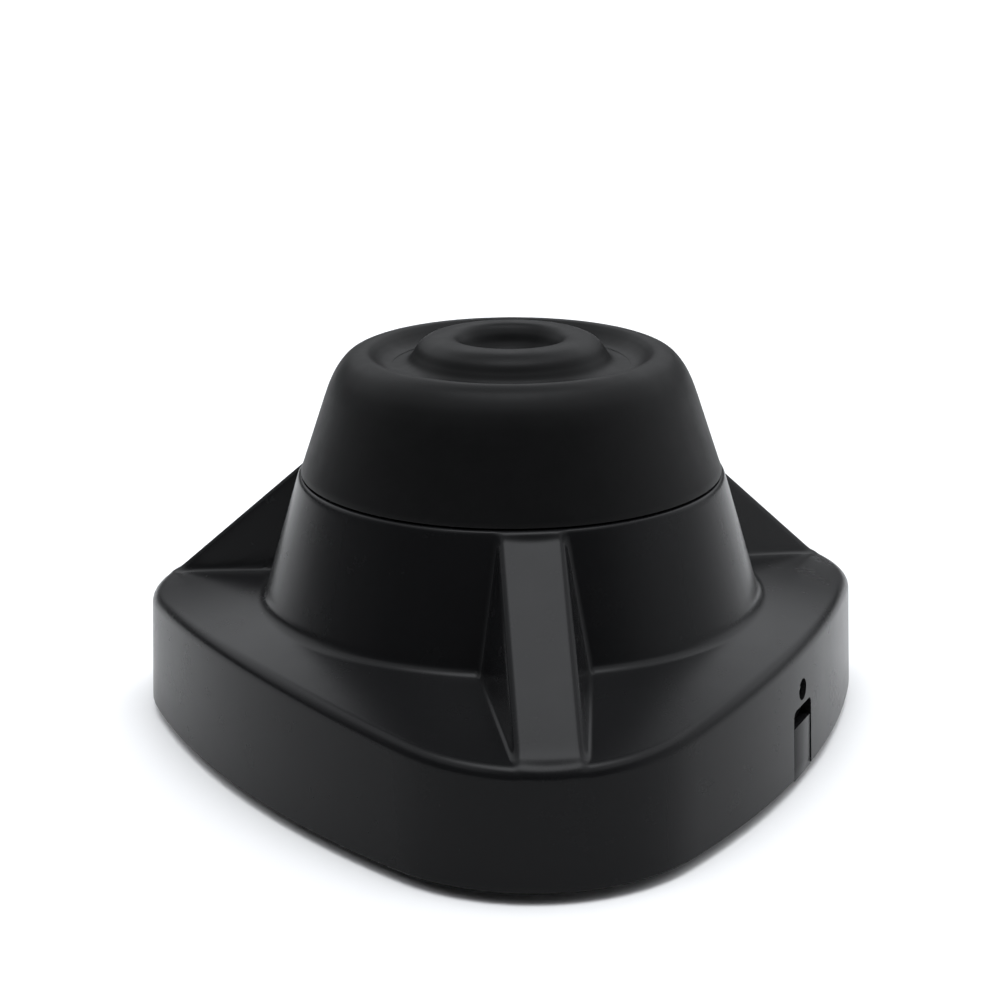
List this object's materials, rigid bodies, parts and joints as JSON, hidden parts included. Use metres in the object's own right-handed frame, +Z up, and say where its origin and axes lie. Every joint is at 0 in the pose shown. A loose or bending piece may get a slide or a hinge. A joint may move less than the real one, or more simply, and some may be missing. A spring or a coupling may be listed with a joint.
{
  "type": "bottle shaker",
  "caption": "Three-cornered bench vortex mixer with a conical tower, gusset ribs and a black rubber cup that shakes a small bottle pressed into its dimple.",
  "frame": {"origin": "on the resting surface, under the middle of the object's box; the motor axis stands at x = 0, y = +8.25 mm", "axes": "+Z up along the motor axis, -Y towards the front corner, +X to the right; the charging port is on the side between the front and right corners"},
  "size_m": [0.141, 0.136, 0.078],
  "materials": {
    "black_abs": "satin black moulded ABS with a fine spark-eroded grain",
    "black_rubber": "matt black silicone rubber",
    "natural_nylon": "natural nylon moulding",
    "zinc_steel": "zinc-plated drawn steel",
    "bright_steel": "ground bright steel",
    "screw_steel": "zinc-plated screw steel",
    "spring_steel": "drawn spring wire",
    "lamination_steel": "stamped laminations",
    "ferrite": "sintered ferrite",
    "brass": "turned brass",
    "nickel": "nickel strip",
    "black_epoxy": "black filled moulding compound",
    "white_plastic": "natural white nylon connector body",
    "board_green": "green solder mask over glass-epoxy board",
    "cell_wrap": "heat-shrunk blue sleeve over a metal can",
    "led_lens": "clear water-white epoxy lens",
    "red_pvc": "red PVC lead insulation",
    "black_pvc": "black PVC lead insulation",
    "yellow_pvc": "yellow PVC lead insulation"
  },
  "bodies": {
    "base": {"housing": "black_abs", "base_plate": "black_abs", "rubber_boot": "black_rubber", "foot_front": "black_rubber", "base_screw_front": "screw_steel", "guide_screw_front": "screw_steel", "return_spring_front": "spring_steel", "foot_right": "black_rubber", "base_screw_right": "screw_steel", "guide_screw_right": "screw_steel", "return_spring_right": "spring_steel", "foot_left": "black_rubber", "base_screw_left": "screw_steel", "guide_screw_left": "screw_steel", "return_spring_left": "spring_steel", "battery_cradle": "black_abs", "start_switch": "black_epoxy", "control_board": "board_green", "charge_socket": "bright_steel", "charge_socket_tongue": "black_epoxy", "status_led": "led_lens", "battery_connector": "white_plastic", "motor_connector": "white_plastic", "charger_chip": "black_epoxy", "board_screw_1": "screw_steel", "board_screw_2": "screw_steel", "battery_cell": "cell_wrap", "battery_contact_positive": "nickel", "battery_contact_negative": "nickel", "lead_battery_positive": "red_pvc", "lead_battery_negative": "black_pvc", "lead_motor_positive": "red_pvc", "lead_motor_negative": "black_pvc", "lead_switch_common": "yellow_pvc"},
    "carriage": {"motor_platform": "natural_nylon", "motor_can": "zinc_steel", "motor_end_cap": "black_epoxy", "motor_magnet_right": "ferrite", "motor_magnet_left": "ferrite", "motor_screw_right": "screw_steel", "motor_screw_left": "screw_steel", "motor_terminal_right": "brass", "motor_terminal_left": "brass"},
    "crank": {"motor_shaft": "bright_steel", "motor_rotor": "lamination_steel", "eccentric_hub": "brass", "counterweight": "brass", "hub_grub_screw": "screw_steel", "bearing_inner_race": "bright_steel", "bearing_retaining_screw": "screw_steel"},
    "cup": {"shaker_cup": "black_rubber", "cup_carrier": "natural_nylon", "bearing_outer_race": "bright_steel", "bearing_balls": "bright_steel"},
    "plunger": {"switch_plunger": "white_plastic"}
  },
  "joints": [
    {"name": "press", "type": "slide", "parent": "base", "child": "carriage", "axis": [0, 0, 1], "range_m": [-0.0012, 0], "stiffness_N_per_m": 2000, "springref_m": 0.003, "deforming": ["return_spring_front", "return_spring_right", "return_spring_left"]},
    {"name": "crank_spin", "type": "hinge", "parent": "carriage", "child": "crank", "pos_m": [0, 0.00825, 0.05], "axis": [0, 0, 1], "continuous": true},
    {"name": "cup_counter_turn", "type": "hinge", "parent": "crank", "child": "cup", "pos_m": [0, 0.01025, 0.059], "axis": [0, 0, 1], "continuous": true},
    {"name": "plunger_push", "type": "slide", "parent": "base", "child": "plunger", "axis": [0, 0, 1], "range_m": [-0.0012, 0]}
  ],
  "couplings": [
    {"joint": "cup_counter_turn", "follows": "crank_spin", "ratio": -1},
    {"joint": "plunger_push", "follows": "press", "ratio": 1}
  ]
}
